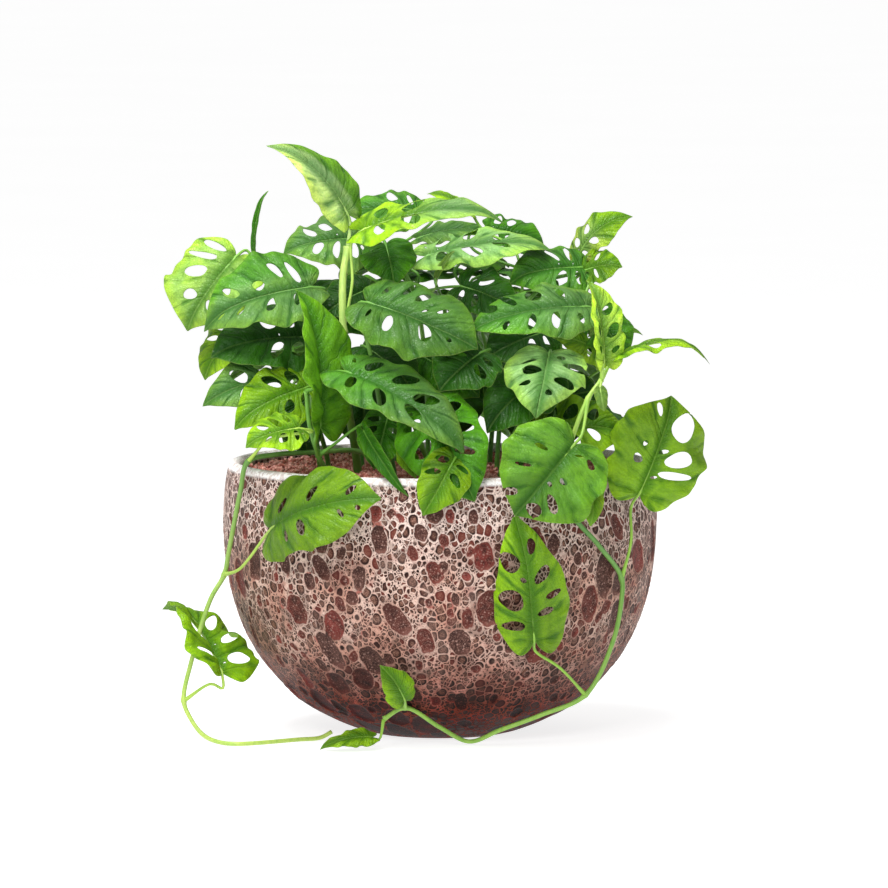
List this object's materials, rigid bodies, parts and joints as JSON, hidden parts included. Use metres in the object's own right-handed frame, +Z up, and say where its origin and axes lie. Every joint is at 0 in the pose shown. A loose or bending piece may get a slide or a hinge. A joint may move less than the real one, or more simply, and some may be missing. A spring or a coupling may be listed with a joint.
{
  "type": "monstera adansonii house plant in a round bowl",
  "caption": "Potted trailing monstera with holed leaves, rooted in soil under clay granules in a round glazed bowl.",
  "frame": {"origin": "centre of the bowl's flat foot, on the surface it stands on", "axes": "+Z up along the bowl's axis, -Y towards the side that the two long vines trail on, +X to that side's right"},
  "size_m": [0.3571, 0.3175, 0.4012],
  "materials": {
    "bowl": "cratered glaze",
    "soil": "rough",
    "granules": "matt fired clay",
    "leaves": "satin leaf",
    "young_leaves": "satin leaf",
    "shaded_leaves": "satin leaf"
  },
  "bodies": {
    "root": {"bowl": "bowl", "soil": "soil", "clay_granules": "granules", "vine_left": "young_leaves", "vine_right": "young_leaves", "stem_front_right": "young_leaves", "stem_tall": "young_leaves", "stem_top_left": "leaves", "stem_left_high": "leaves", "stem_left_low": "shaded_leaves", "stem_front_left": "leaves", "stem_middle": "leaves", "stem_middle_low": "leaves", "stem_top": "leaves", "stem_top_right": "leaves", "stem_right_mid": "leaves", "stem_right_low": "shaded_leaves", "spray_right": "leaves", "spray_right_back": "leaves", "spray_back": "leaves", "spray_left_back": "leaves", "spray_left": "leaves"}
  },
  "joints": []
}
